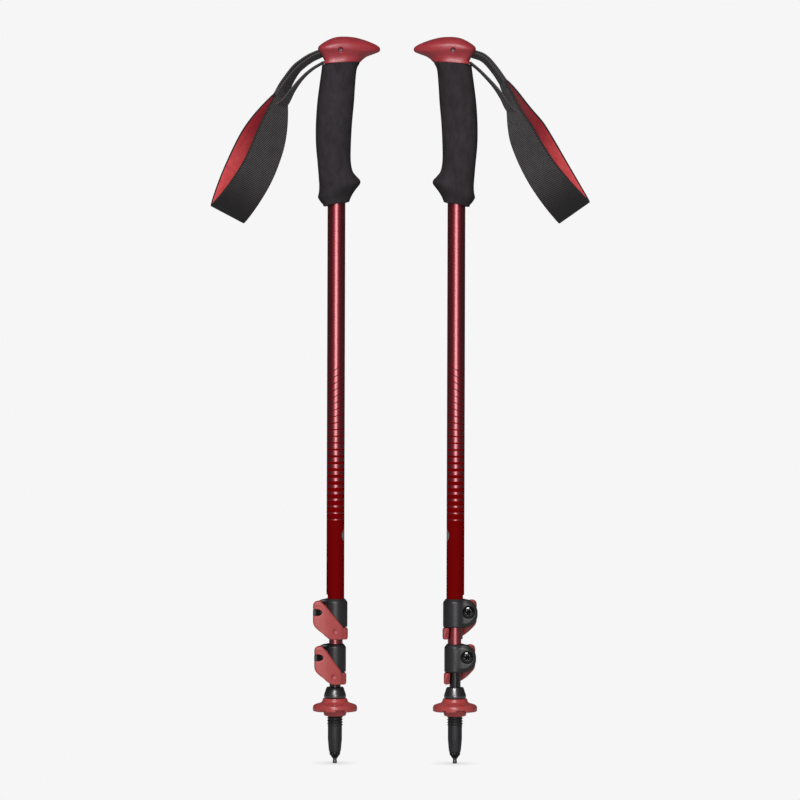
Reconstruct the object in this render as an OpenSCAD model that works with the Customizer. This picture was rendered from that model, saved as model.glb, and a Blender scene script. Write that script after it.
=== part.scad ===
// A pair of telescopic trekking poles, collapsed and standing side by side.
// Millimetres. Origin on the ground midway between the two tips, Z up.
// Each pole is drawn about its own axis: nose to +X, strap to -X, lever to -Y.

/* [Pair] */
// Distance between the two pole axes
pole_gap = 108; // [90:1:200]
// Extra lift of the second wrist strap, degrees
strap_lift = 1.9; // [0:0.1:10]

/* [Shafts] */
// Outer diameter of the upper shaft
upper_d = 16; // [14:0.1:20]
// Outer diameter of the middle shaft
middle_d = 13.5; // [11:0.1:14]
// Outer diameter of the lower shaft
lower_d = 10; // [8:0.1:11.5]
// Wall of the shafts
wall = 0.7; // [0.5:0.05:1.2]
// Width of the expansion slit at the back of a clamped shaft end
slit_w = 8.2; // [2:0.1:9]
// Top of the upper shaft, inside the grip
upper_top = 626; // [600:1:627]
// Top of the middle shaft when collapsed
middle_top = 594; // [540:1:600]
// Top of the lower shaft when collapsed
lower_top = 576; // [500:1:582]

/* [Clamps] */
// Underside of the upper clamp body
upper_clamp_z = 122.4; // [115:0.1:140]
// Underside of the lower clamp body when collapsed
lower_clamp_z = 81.9; // [78:0.1:84]
// Height of a clamp body
clamp_h = 25.6; // [20:0.1:30]
// Wall of a clamp body around its shaft
clamp_wall = 3; // [2:0.1:4]
// Distance of the screw behind the surface of the shaft
screw_back = 4; // [3.2:0.1:6]
// Height of the screw above the underside of the clamp
screw_up = 13.8; // [12:0.1:16]
// Radius of the rounded ears
ear_r = 11.3; // [9:0.1:12.5]
// Outer face of the ear on the screw side
ear_out = 9.2; // [7:0.1:11]
// Thickness of the thrust plate under the cam
plate_t = 0.9; // [0.6:0.1:1.5]
// Width of the gap between the ears
ear_gap = 2; // [1:0.1:3]

/* [Levers] */
// Radius of the cam end
cam_r = 8.2; // [7:0.1:9]
// Radius of the cross barrel
barrel_r = 3.2; // [2.5:0.1:4]
// Radius of the clamp screw
screw_r = 2.45; // [2:0.05:3]
// Radius of the screw head
head_r = 5; // [4:0.1:5.4]
// Height of the slot that lets the lever swing past the screw
lever_slot = 6; // [5.4:0.1:8]
// How far the thumb tab wraps around the front, degrees
tab_wrap = 34; // [10:1:40]
// How far the lever reaches below the clamp body
lever_drop = 10.8; // [8:0.1:11.5]

/* [Grip] */
// Half width of the foam grip
grip_half = 13.8; // [12:0.1:18]
// Outer radius of the grip core
core_r = 10; // [9:0.1:11]
// Half width of the pommel
pommel_half = 17; // [14:0.1:22]
// Radius of the cross pin
pin_r = 1.25; // [1:0.05:2]
// Place of the cross pin in front of the axis
pin_x = 3.7; // [2:0.1:6]
// Height of the cross pin
pin_z = 640.2; // [638:0.1:643]

/* [Wrist strap] */
// Full width of the wrist band
band_w = 36.5; // [25:0.5:45]
// Width of the webbing
webbing_w = 18; // [12:0.5:18.5]
// Thickness of the webbing
webbing_t = 1.5; // [1:0.1:1.8]
// Length of the hanging part of the loop
loop_l = 113; // [90:1:140]
// Depth of the loop where it is widest
loop_d = 26; // [18:1:60]
// Thickness of the band's outer layer
band_t = 1.4; // [1:0.1:2.5]
// Thickness of the lining
lining_t = 0.9; // [0.5:0.1:1.5]

/* [Tip] */
// Radius of the basket
basket_r = 19.85; // [15:0.05:50]
// Radius of the straight part of the tip body
tip_r = 6.35; // [5.8:0.05:6.6]
// Radius over the thread ridges
thread_r = 6.95; // [6.7:0.05:7]
// Radius of the basket's bore
basket_bore = 7.05; // [7:0.01:7.3]
// Radius of the carbide tip
point_r = 1.9; // [1.5:0.1:2.2]

/* [Hidden] */
$fn = 64;
ur = upper_d / 2;
mr = middle_d / 2;
lr = lower_d / 2;
shaft_red = [0.52, 0.04, 0.09];
trim_red = [0.72, 0.24, 0.26];
black = [0.19, 0.18, 0.19];
foam_grey = [0.21, 0.19, 0.2];
steel = [0.62, 0.62, 0.64];
lining_red = [0.72, 0.14, 0.18];

// ---- places of the two poles ----

module left() {
  translate([-pole_gap / 2, 0, 0]) children();
}

module right() {
  translate([pole_gap / 2, 0, 0]) rotate([0, 0, 180]) children();
}

// The second strap hangs as the mirror image of the first.
module right_strap() {
  translate([pole_gap / 2, 0, 0])
    mirror([1, 0, 0])
      translate([strap_x, 0, strap_z])
        rotate([0, strap_lift, 0])
          translate([-strap_x, 0, -strap_z])
            children();
}

// ---- shafts ----

module tube(r, z0, z1) {
  difference() {
    translate([0, 0, z0]) cylinder(r = r, h = z1 - z0);
    translate([0, 0, z0 - 1]) cylinder(r = r - wall, h = z1 - z0 + 2);
  }
}

module slit_tube(r, z0, z1, slit_top) {
  difference() {
    tube(r, z0, z1);
    translate([-r - 1, -slit_w / 2, z0 - 1]) cube([r - 2, slit_w, slit_top - z0 + 1]);
  }
}

// A cap on a shaft's inner end that runs in the next shaft up.
module bushing(r_out, r_in, z) {
  difference() {
    union() {
      translate([0, 0, z]) cylinder(r = r_out, h = 7);
      translate([0, 0, z - 9]) cylinder(r = r_in, h = 9.5);
    }
    translate([0, 0, z - 10]) cylinder(r = r_in - 1.6, h = 18);
  }
}

// ---- clamps ----

function ring_r(r) = r + clamp_wall;
function cam_x(r) = -(r + screw_back);
function cam_y(r) = -sqrt(pow(ring_r(r) + cam_r + 0.3, 2) - pow(cam_x(r), 2));
function ear_in(r) = -cam_y(r) - cam_r - plate_t - 0.25;

// A cylinder along Y from y0 to y1.
module ycyl(x, z, r, y0, y1) {
  translate([x, y0, z]) rotate([-90, 0, 0]) cylinder(r = r, h = y1 - y0);
}

// One ear, a little taller than it is round.
module clamp_ear(x, sz, y0, y1) {
  hull() {
    ycyl(x + ear_r - 8, sz - 2.3, ear_r, y0, y1);
    ycyl(x + ear_r - 8, sz + 0.4, ear_r, y0, y1);
  }
}

module clamp_body(r, z) {
  ro = ring_r(r);
  x = cam_x(r);
  sz = z + screw_up;
  difference() {
    union() {
      translate([0, 0, z]) cylinder(r = ro, h = clamp_h - 3.4);
      translate([0, 0, z + clamp_h - 3.4]) cylinder(r1 = ro, r2 = ro - 2.3, h = 3.4);
      clamp_ear(x, sz, ear_gap / 2, ear_out);
      clamp_ear(x, sz, -ear_in(r), -ear_gap / 2);
    }
    translate([0, 0, z - 1]) cylinder(r = r, h = clamp_h + 2);
    translate([x - 12, -ear_gap / 2, z - 1]) cube([12 - x, ear_gap, clamp_h + 2]);
    ycyl(x, sz, screw_r + 0.35, -ear_in(r) - 1, ear_out + 1);
    ycyl(x, sz, head_r + 0.4, ear_out - 2.2, ear_out + 1);
    // Flat seat for the thrust plate.
    translate([x - 16, -ear_in(r) - 6, sz - 8.3]) cube([21.2, 6, 16.6]);
  }
}

module clamp_screw(r, z) {
  x = cam_x(r);
  sz = z + screw_up;
  difference() {
    union() {
      ycyl(x, sz, screw_r, cam_y(r) - 1.8, ear_out - 2);
      translate([x, ear_out - 2.2, sz])
        rotate([-90, 0, 0])
          rotate_extrude()
            polygon([[0, 0], [head_r, 0], [head_r, 1.4], [4.2, 2.5], [2.6, 3.1], [0, 3.3]]);
    }
    translate([x, ear_out - 0.8, sz]) rotate([-90, 0, 0]) cylinder(r = 2, h = 4, $fn = 6);
  }
}

module clamp_barrel(r, z) {
  difference() {
    translate([cam_x(r), cam_y(r), z + screw_up - 9.6]) cylinder(r = barrel_r, h = 19.2);
    ycyl(cam_x(r), z + screw_up, screw_r + 0.05, cam_y(r) - 5, cam_y(r) + 5);
  }
}

// The thrust plate between the cam and the ear.
module clamp_plate(r, z) {
  x = cam_x(r);
  sz = z + screw_up;
  difference() {
    translate([x - 5.5, -ear_in(r) - plate_t, sz - 8]) cube([10.5, plate_t, 16]);
    ycyl(x, sz, screw_r + 0.35, -ear_in(r) - 4, -ear_in(r) + 4);
  }
}

// Outline of the lever seen from its side.
module lever_side(r) {
  b = cam_x(r) - cam_r - 0.1;
  f = ring_r(r) + 0.3;
  polygon([
    [b, 5], [b + 1.2, 2.4], [b + 13.5, -8.2], [b + 16.6, 0.6 - lever_drop],
    [f - 4.5, 0.2 - lever_drop], [f - 0.6, -lever_drop], [f, 0.6 - lever_drop],
    [f, -1.4], [f - 0.6, -0.6], [f - 3.2, -0.4],
    [b + 9.8, 22.6], [b + 8.6, 23.7], [b + 7, 24.2], [b + 4.2, 24.1], [b + 2.2, 23.4],
    [b + 0.8, 22.2], [b, 20]
  ]);
}

// Outline of the lever seen from above, at the height of the clamp body.
module lever_plan(r) {
  x = cam_x(r);
  y = cam_y(r);
  difference() {
    union() {
      translate([x, y]) circle(r = cam_r);
      difference() {
        hull() {
          translate([x, y]) circle(r = cam_r - 0.6);
          circle(r = ring_r(r) + 2.6);
        }
        translate([x, y]) rotate([0, 0, atan2(-y, -x)]) translate([-40, 0]) square([90, 40]);
      }
    }
    circle(r = ring_r(r) + 0.35);
    translate([x - 30, y - 34.9]) square([60, 30]);
    translate([0, -3]) square([40, 40]);
  }
}

module lever_tab(r, r_in) {
  rotate_extrude(angle = tab_wrap + 62, start = -62)
    translate([r_in, 0])
      square([ring_r(r) + 2.6 - r_in, lever_drop - 0.4]);
}

module clamp_lever(r, r_in, z) {
  x = cam_x(r);
  y = cam_y(r);
  difference() {
    intersection() {
      translate([0, 30, z]) rotate([90, 0, 0]) linear_extrude(height = 70) lever_side(r);
      union() {
        translate([0, 0, z - lever_drop]) linear_extrude(height = 36) lever_plan(r);
        translate([0, 0, z - lever_drop]) lever_tab(r, r_in);
      }
    }
    translate([x, y, z - 20]) cylinder(r = barrel_r + 0.05, h = 60);
    translate([x, y, z + screw_up - lever_slot / 2])
      linear_extrude(height = lever_slot)
        polygon([[3, 0], [3, 12], [-14, 12], [-14, -14], [-9.56, -11.94], [1.93, -2.3]]);
  }
}

// ---- grip ----

// A thin oval plate that the grip's skin is stretched over.
module oval(x0, x1, z, half, tilt = 0) {
  translate([(x0 + x1) / 2, 0, z])
    rotate([0, -tilt, 0])
      scale([(x1 - x0) / 2, half, 1])
        cylinder(r = 1, h = 0.2, center = true, $fn = 48);
}

module foam_grip() {
  difference() {
    union() {
      hull() { oval(-12.2, 20.6, 629.4, 13.4, 4); oval(-15.2, 17, 611, grip_half, 2); }
      hull() { oval(-15.2, 17, 611, grip_half, 2); oval(-18.5, 14.4, 579, grip_half + 0.4); }
      hull() { oval(-18.5, 14.4, 579, grip_half + 0.4); oval(-17.7, 12.9, 546, grip_half); }
      hull() { oval(-17.7, 12.9, 546, grip_half); oval(-16.4, 14.4, 532.5, grip_half + 0.4, 6); }
      hull() {
        oval(-16.4, 14.4, 532.5, grip_half + 0.4, 6);
        oval(-16.4, 22.4, 518.4, grip_half + 2.4, 18);
      }
      hull() { oval(-16.4, 22.4, 518.4, grip_half + 2.4, 18); oval(-16.8, 13.6, 510.4, 14, 8); }
      hull() { oval(-16.8, 13.6, 510.4, 14, 8); oval(-10.8, 11.4, 503.4, 11.2, 10); }
    }
    translate([0, 0, 490]) cylinder(r = core_r, h = 160);
  }
}

module grip_core() {
  difference() {
    translate([0, 0, 506]) cylinder(r = core_r, h = 121);
    translate([0, 0, 500]) cylinder(r = ur, h = 140);
  }
}

// A thin egg-shaped plate, broad at the back and narrow at the nose.
module egg(x0, x1, z, half, tilt = 0) {
  translate([0, 0, z])
    rotate([0, -tilt, 0])
      linear_extrude(height = 0.2, center = true)
        hull() {
          translate([x0 + half * 0.95, 0]) scale([0.95, 1]) circle(r = half, $fn = 40);
          translate([x1 - half * 0.5, 0]) circle(r = half * 0.5, $fn = 28);
        }
}

module pommel() {
  difference() {
    union() {
      hull() {
        egg(1.5, 15, 653.5, 5);
        egg(-5.9, 23.9, 651.6, pommel_half * 0.55);
        egg(-12.2, 33.4, 648, pommel_half * 0.82);
        egg(-16.2, 38.4, 644.4, pommel_half * 0.98);
        egg(-16.8, 39.1, 642.6, pommel_half);
        egg(-16.2, 38.3, 640.4, pommel_half * 0.97);
      }
      hull() {
        egg(-16.2, 38.3, 640.4, pommel_half * 0.97);
        egg(-14.3, 31.2, 637.5, pommel_half * 0.89);
      }
      hull() {
        egg(-14.3, 31.2, 637.5, pommel_half * 0.89);
        egg(-11.6, 23.6, 633.5, pommel_half * 0.82);
      }
      hull() { egg(-11.6, 23.6, 633.5, pommel_half * 0.82); egg(-12.4, 20.9, 629.9, 13.6, 4); }
      translate([0, 0, 612]) cylinder(r = ur - wall, h = 20);
    }
    // Upper strap slot and the lock's chamber.
    translate([-22, -9.6, 633.4]) cube([30, 19.2, 8.3]);
    translate([-9, -9.6, 635]) cube([17, 19.2, 11]);
    // Lower strap slot.
    translate([-22, -9.6, 628]) cube([19, 19.2, 4.2]);
    ycyl(pin_x, pin_z, pin_r, -30, 30);
    ycyl(pin_x, pin_z, pin_r + 0.9, -30, -14);
    ycyl(pin_x, pin_z, pin_r + 0.9, 14, 30);
  }
}

module strap_pin() {
  ycyl(pin_x, pin_z, pin_r, -14.6, 14.6);
}

// The sliding wedge that locks the webbing.
module strap_wedge() {
  translate([0, 8.9, 0])
    rotate([90, 0, 0])
      linear_extrude(height = 17.8)
        polygon([[-5, 642], [0.5, 644.2], [0.5, 645.6], [-5, 645.6]]);
}

// ---- wrist strap ----

// Mouth of the upper slot, where the strap swings.
strap_x = -14;
strap_z = 638.4;
loop_x = -51.5;
loop_z = 597;
lean0 = 20;
lean1 = 27;
bend_r = loop_l / ((lean1 - lean0) * PI / 180);

function mix(a, b, t) = a + (b - a) * t;
function unit(v) = v / norm(v);
function curve(a, b, c, t) = (1 - t) * (1 - t) * a + 2 * t * (1 - t) * b + t * t * c;

// Middle line of the strap: v runs 0..1 along the strands, then 1..2 along the loop.
function lean(s) = mix(lean0, lean1, s / loop_l);
function mid(v) = v < 1
  ? curve([strap_x, strap_z + 0.6], [-38.8, 631.8], [loop_x, loop_z], v)
  : [loop_x - bend_r * (cos(lean0) - cos(lean((v - 1) * loop_l))),
     loop_z - bend_r * (sin(lean((v - 1) * loop_l)) - sin(lean0))];
function along(v) = unit(mid(v + 0.01) - mid(v - 0.01));
function across(v) = [-along(v)[1], along(v)[0]];
function turn(v) = v < 1 ? 70 + 20 * cos(180 * v) : mix(50, 20, v - 1);
function half_w(v) = v < 1
  ? webbing_w / 2
  : mix(webbing_w + 1, band_w, min(1, (v - 1) * loop_l / 24)) / 2;
// Directions across the webbing and through the loop.
function wide(v) = [cos(turn(v)) * across(v)[0], sin(turn(v)), cos(turn(v)) * across(v)[1]];
function deep(v) = [-sin(turn(v)) * across(v)[0], cos(turn(v)), -sin(turn(v)) * across(v)[1]];
// Half the distance between the strap's two layers; a is 1 at the loop's top, 0 at its fold.
function half_d(a) = loop_d / 2 * (sin(180 * pow(a, 1.45)) + 0.15 * a);
function place(v, d) = [mid(v)[0] + d * deep(v)[0], d * deep(v)[1], mid(v)[1] + d * deep(v)[2]];
// A station is [centre, direction across, half width].
function strand(v, side) = [place(v, side * mix(1.05, 0.075 * loop_d, v)), wide(v), half_w(v)];
function station(a) = [
  place(2 - a * a, (a < 0 ? -1 : 1) * half_d(abs(a))), wide(2 - a * a), half_w(2 - a * a)
];

// A ribbon through the stations, moved out of its own plane by off.
module ribbon(st, t, off = 0) {
  n = len(st) - 1;
  dir = [for (i = [0:n]) unit(st[min(i + 1, n)][0] - st[max(i - 1, 0)][0])];
  nrm = [for (i = [0:n]) unit(cross(st[i][1], dir[i]))];
  pts = [for (i = [0:n]) for (k = [[-1, -1], [1, -1], [1, 1], [-1, 1]])
    st[i][0] + k[0] * st[i][2] * st[i][1] + (off + k[1] * t / 2) * nrm[i]];
  faces = concat(
    [[0, 1, 2], [0, 2, 3]],
    [[4 * n + 2, 4 * n + 1, 4 * n], [4 * n + 3, 4 * n + 2, 4 * n]],
    [for (i = [0:n - 1]) for (k = [0:3]) [4 * i + k, 4 * i + 4 + k, 4 * i + (k + 1) % 4]],
    [for (i = [0:n - 1]) for (k = [0:3])
      [4 * i + 4 + k, 4 * i + 4 + (k + 1) % 4, 4 * i + (k + 1) % 4]]
  );
  polyhedron(points = pts, faces = faces);
}

module strap_webbing() {
  for (side = [-1, 1])
    ribbon(concat(
      [[[1.5, 0, strap_z + 0.7 + side * 1.05], [0, 1, 0], webbing_w / 2]],
      [for (i = [0:10]) strand(i / 10.2, side)]
    ), webbing_t);
}

module wrist_band() {
  ribbon([for (i = [-18:18]) station(i / 18)], band_t);
}

module band_lining() {
  ribbon([for (i = [-17:17]) lining_station(i / 18)], lining_t, (band_t + lining_t) / 2 + 0.1);
}
function lining_station(a) = [station(a)[0], station(a)[1], station(a)[2] - 0.8];

module strap_tail() {
  ribbon(concat(
    [[[-4, 0, 630.4], [0, 1, 0], webbing_w / 2 - 1]],
    [for (i = [0:8]) tail(i / 8)]
  ), webbing_t);
}
function tail(t) = [
  [curve(-12, -33, -42.6, t), 2.5 * t * t, curve(630.4, 616, 596.5, t)],
  [cos(90 - 30 * t * t) * 0.9, sin(90 - 30 * t * t), -cos(90 - 30 * t * t) * 0.44],
  webbing_w / 2 - 1
];

// ---- tip ----

module tip_collar() {
  rotate_extrude()
    polygon([[lr, 58.6], [9.7, 58.6], [10, 59], [10, 61.4], [7.8, 67.9], [7.4, 68.4], [lr, 68.4]]);
}

module basket() {
  difference() {
    rotate_extrude()
      polygon([
        [basket_bore, 42.4], [8.9, 42.4], [9.7, 43.6], [10.3, 46.4], [10.4, 48.4],
        [basket_r - 1.8, 47.8], [basket_r - 0.6, 48.2], [basket_r, 49.2], [basket_r, 51.8],
        [basket_r - 0.8, 53], [basket_r - 3.4, 54.6], [13, 55.4], [11.1, 56.4],
        [10.4, 58.1], [basket_bore, 58.1]
      ]);
    for (k = [0:4])
      rotate([0, 0, 72 * k + 20]) translate([11.4, -3.6, 46]) cube([12, 7.2, 4]);
  }
}

module tip_body() {
  difference() {
    union() {
      rotate_extrude()
        polygon([
          [0, 9.9], [5.1, 9.9], [5.3, 10.8], [5.85, 16.2], [6.2, 19.8], [tip_r, 21.8],
          [tip_r, 58.5], [0, 58.5]
        ]);
      for (k = [0:10])
        translate([0, 0, 33 + 2.4 * k]) cylinder(r = thread_r, h = 1.1);
    }
    translate([0, 0, 16]) cylinder(r = lr, h = 50);
    translate([0, 0, 5]) cylinder(r = point_r, h = 9.2);
  }
}

module tip_ferrule() {
  difference() {
    rotate_extrude()
      polygon([
        [0, 4.4], [2.3, 4.4], [3, 5.4], [3.6, 6.4], [4.3, 7.2], [4.7, 7.9],
        [4.7, 9.9], [0, 9.9]
      ]);
    translate([0, 0, 2]) cylinder(r = point_r, h = 12);
  }
}

module carbide_tip() {
  difference() {
    union() {
      cylinder(r1 = point_r - 0.3, r2 = point_r, h = 0.5);
      translate([0, 0, 0.5]) cylinder(r = point_r, h = 13.5);
    }
    translate([0, 0, -0.6]) cylinder(r1 = 1.5, r2 = 0.3, h = 1.6);
  }
}

// ---- left pole ----

module left_pommel() { color(trim_red) left() pommel(); }
module left_strap_pin() { color(steel) left() strap_pin(); }
module left_strap_wedge() { color(black) left() strap_wedge(); }
module left_grip_core() { color(black) left() grip_core(); }
module left_foam_grip() { color(foam_grey) left() foam_grip(); }
module left_strap_webbing() { color(black) left() strap_webbing(); }
module left_strap_tail() { color(black) left() strap_tail(); }
module left_wrist_band() { color(black) left() wrist_band(); }
module left_band_lining() { color(lining_red) left() band_lining(); }
module left_upper_shaft() {
  color(shaft_red) left() slit_tube(ur, upper_clamp_z + 0.4, upper_top, 151.6);
}
module left_upper_clamp_body() { color(black) left() clamp_body(ur, upper_clamp_z); }
module left_upper_clamp_lever() { color(trim_red) left() clamp_lever(ur, mr + 1.15, upper_clamp_z); }
module left_upper_clamp_barrel() { color(black) left() clamp_barrel(ur, upper_clamp_z); }
module left_upper_clamp_screw() { color(black) left() clamp_screw(ur, upper_clamp_z); }
module left_upper_clamp_plate() { color(black) left() clamp_plate(ur, upper_clamp_z); }
module left_middle_shaft() {
  color(shaft_red) left() slit_tube(mr, lower_clamp_z + 0.4, middle_top, 111.8);
}
module left_middle_bushing() { color(black) left() bushing(ur - wall - 0.08, mr - wall, middle_top); }
module left_lower_clamp_body() { color(black) left() clamp_body(mr, lower_clamp_z); }
module left_lower_clamp_lever() { color(trim_red) left() clamp_lever(mr, lr + 1.4, lower_clamp_z); }
module left_lower_clamp_barrel() { color(black) left() clamp_barrel(mr, lower_clamp_z); }
module left_lower_clamp_screw() { color(black) left() clamp_screw(mr, lower_clamp_z); }
module left_lower_clamp_plate() { color(black) left() clamp_plate(mr, lower_clamp_z); }
module left_lower_shaft() { color(black) left() tube(lr, 16.2, lower_top); }
module left_lower_bushing() { color(black) left() bushing(mr - wall - 0.08, lr - wall, lower_top); }
module left_tip_collar() { color(black) left() tip_collar(); }
module left_basket() { color(trim_red) left() basket(); }
module left_tip_body() { color(black) left() tip_body(); }
module left_tip_ferrule() { color(black) left() tip_ferrule(); }
module left_carbide_tip() { color(steel) left() carbide_tip(); }

// ---- right pole ----

module right_pommel() { color(trim_red) right() pommel(); }
module right_strap_pin() { color(steel) right() strap_pin(); }
module right_strap_wedge() { color(black) right() strap_wedge(); }
module right_grip_core() { color(black) right() grip_core(); }
module right_foam_grip() { color(foam_grey) right() foam_grip(); }
module right_strap_webbing() { color(black) right_strap() strap_webbing(); }
module right_strap_tail() { color(black) right_strap() strap_tail(); }
module right_wrist_band() { color(black) right_strap() wrist_band(); }
module right_band_lining() { color(lining_red) right_strap() band_lining(); }
module right_upper_shaft() {
  color(shaft_red) right() slit_tube(ur, upper_clamp_z + 0.4, upper_top, 151.6);
}
module right_upper_clamp_body() { color(black) right() clamp_body(ur, upper_clamp_z); }
module right_upper_clamp_lever() { color(trim_red) right() clamp_lever(ur, mr + 1.15, upper_clamp_z); }
module right_upper_clamp_barrel() { color(black) right() clamp_barrel(ur, upper_clamp_z); }
module right_upper_clamp_screw() { color(black) right() clamp_screw(ur, upper_clamp_z); }
module right_upper_clamp_plate() { color(black) right() clamp_plate(ur, upper_clamp_z); }
module right_middle_shaft() {
  color(shaft_red) right() slit_tube(mr, lower_clamp_z + 0.4, middle_top, 111.8);
}
module right_middle_bushing() { color(black) right() bushing(ur - wall - 0.08, mr - wall, middle_top); }
module right_lower_clamp_body() { color(black) right() clamp_body(mr, lower_clamp_z); }
module right_lower_clamp_lever() { color(trim_red) right() clamp_lever(mr, lr + 1.4, lower_clamp_z); }
module right_lower_clamp_barrel() { color(black) right() clamp_barrel(mr, lower_clamp_z); }
module right_lower_clamp_screw() { color(black) right() clamp_screw(mr, lower_clamp_z); }
module right_lower_clamp_plate() { color(black) right() clamp_plate(mr, lower_clamp_z); }
module right_lower_shaft() { color(black) right() tube(lr, 16.2, lower_top); }
module right_lower_bushing() { color(black) right() bushing(mr - wall - 0.08, lr - wall, lower_top); }
module right_tip_collar() { color(black) right() tip_collar(); }
module right_basket() { color(trim_red) right() basket(); }
module right_tip_body() { color(black) right() tip_body(); }
module right_tip_ferrule() { color(black) right() tip_ferrule(); }
module right_carbide_tip() { color(steel) right() carbide_tip(); }

left_pommel();
left_strap_pin();
left_strap_wedge();
left_grip_core();
left_foam_grip();
left_strap_webbing();
left_strap_tail();
left_wrist_band();
left_band_lining();
left_upper_shaft();
left_upper_clamp_body();
left_upper_clamp_lever();
left_upper_clamp_barrel();
left_upper_clamp_screw();
left_upper_clamp_plate();
left_middle_shaft();
left_middle_bushing();
left_lower_clamp_body();
left_lower_clamp_lever();
left_lower_clamp_barrel();
left_lower_clamp_screw();
left_lower_clamp_plate();
left_lower_shaft();
left_lower_bushing();
left_tip_collar();
left_basket();
left_tip_body();
left_tip_ferrule();
left_carbide_tip();
right_pommel();
right_strap_pin();
right_strap_wedge();
right_grip_core();
right_foam_grip();
right_strap_webbing();
right_strap_tail();
right_wrist_band();
right_band_lining();
right_upper_shaft();
right_upper_clamp_body();
right_upper_clamp_lever();
right_upper_clamp_barrel();
right_upper_clamp_screw();
right_upper_clamp_plate();
right_middle_shaft();
right_middle_bushing();
right_lower_clamp_body();
right_lower_clamp_lever();
right_lower_clamp_barrel();
right_lower_clamp_screw();
right_lower_clamp_plate();
right_lower_shaft();
right_lower_bushing();
right_tip_collar();
right_basket();
right_tip_body();
right_tip_ferrule();
right_carbide_tip();
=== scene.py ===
"""A pair of telescopic trekking poles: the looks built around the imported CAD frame.

Shapes are written in millimetres about each pole's own axis (nose +X, strap -X, lever -Y, Z up)
and stored in metres.
"""

import math

import bpy
import numpy as np
import openvdb
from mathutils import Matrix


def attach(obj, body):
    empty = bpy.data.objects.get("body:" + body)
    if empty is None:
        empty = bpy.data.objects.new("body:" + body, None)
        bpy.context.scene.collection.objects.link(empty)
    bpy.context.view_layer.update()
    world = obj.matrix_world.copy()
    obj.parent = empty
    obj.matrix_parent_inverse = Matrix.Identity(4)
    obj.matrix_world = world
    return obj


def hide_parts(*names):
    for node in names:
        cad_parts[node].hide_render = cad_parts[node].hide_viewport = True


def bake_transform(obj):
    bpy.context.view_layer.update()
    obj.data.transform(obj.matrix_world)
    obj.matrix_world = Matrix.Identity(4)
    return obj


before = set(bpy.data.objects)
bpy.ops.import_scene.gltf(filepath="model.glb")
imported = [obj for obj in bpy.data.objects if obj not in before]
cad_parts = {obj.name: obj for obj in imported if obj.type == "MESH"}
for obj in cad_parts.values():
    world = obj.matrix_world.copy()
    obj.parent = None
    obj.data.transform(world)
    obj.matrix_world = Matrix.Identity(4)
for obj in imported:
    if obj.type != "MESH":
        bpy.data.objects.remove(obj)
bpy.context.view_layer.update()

scene = bpy.context.scene
MM = 0.001
VOXEL = 0.3
ROUND = 96  # points round a turned or lofted ring
HALF_GAP = 54.0
SIDES = {"left": (-HALF_GAP, 0.0), "right": (HALF_GAP, math.pi)}

# Radii, heights and walls that the CAD model uses, in millimetres.
UPPER_R, MIDDLE_R, LOWER_R, WALL = 8.0, 6.75, 5.0, 0.7
UPPER_CLAMP_Z, LOWER_CLAMP_Z, CLAMP_H = 122.4, 81.9, 25.6
CLAMP_WALL, SCREW_BACK, SCREW_UP = 3.0, 4.0, 13.8
CAM_R, BARREL_R, BARREL_H, SCREW_R, HEAD_R = 8.2, 3.2, 19.2, 2.45, 5.0
EAR_R, EAR_OUT, HEAD_SUNK, SPLIT_HALF, PLATE_T = 11.3, 9.2, 2.2, 1.0, 0.9
LEVER_DROP, LEVER_TOP, FACE_OUT, TAB_TOP = 10.8, 24.2, 4.9, -0.4
SLIT_HALF = 4.1


# ---------------------------------------------------------------- meshes


def spline(rows, steps):
    """A smooth curve through the rows of numbers, with that many steps between two rows."""
    p = np.array(rows, float)
    p = np.vstack([2 * p[0] - p[1], p, 2 * p[-1] - p[-2]])
    t = (np.arange(steps) / steps)[:, None]
    out = []
    for i in range(1, len(p) - 2):
        a, b, c, d = p[i - 1 : i + 3]
        out.append(
            0.5 * (2 * b + (c - a) * t + (2 * a - 5 * b + 4 * c - d) * t * t + (3 * b - a - 3 * c + d) * t**3)
        )
    return np.vstack(out + [p[-2:-1]])


def make_mesh(name, points, faces, sharp=None, uvs=None, slots=None):
    """A smooth-shaded mesh from points in millimetres; sharp is the angle above which an edge stays hard."""
    mesh = bpy.data.meshes.new(name)
    mesh.from_pydata((np.asarray(points, float) * MM).tolist(), [], [list(map(int, f)) for f in faces])
    if uvs is not None:
        layer = mesh.uv_layers.new(name="weave")
        layer.data.foreach_set("uv", np.asarray(uvs, np.float32).ravel())
    if slots is not None:
        mesh.polygons.foreach_set("material_index", np.asarray(slots, np.int32))
    mesh.polygons.foreach_set("use_smooth", [True] * len(mesh.polygons))
    mesh.update()
    if sharp is not None:
        mesh.set_sharp_from_angle(angle=math.radians(sharp))
    return mesh


def even_turn(n):
    """n even angles round a full turn."""
    return np.linspace(0, 2 * math.pi, n, endpoint=False)


def circle(r, z, angles):
    return [(r * math.cos(a), r * math.sin(a), z) for a in angles]


def grid_faces(rows, cols):
    """Quads of a grid of points whose last column joins its first."""
    out = []
    for i in range(rows - 1):
        for j in range(cols):
            k = (j + 1) % cols
            a, b = i * cols, (i + 1) * cols
            out.append((a + j, a + k, b + k, b + j))
    return out


def lathe(name, profile, segments=ROUND):
    """Turns a profile of (radius, height), from the bottom up, about Z; a radius of 0 closes an end."""
    pts, faces, rings = [], [], []
    for r, z in profile:
        new = circle(r, z, even_turn(segments)) if r > 1e-6 else [(0, 0, z)]
        rings.append(range(len(pts), len(pts) + len(new)))
        pts += new
    for low, high in zip(rings, rings[1:]):
        for j in range(segments):
            k = (j + 1) % segments
            quad = [low[j % len(low)], low[k % len(low)], high[k % len(high)], high[j % len(high)]]
            faces.append(list(dict.fromkeys(quad)))
    return make_mesh(name, pts, faces, 32)


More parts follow.
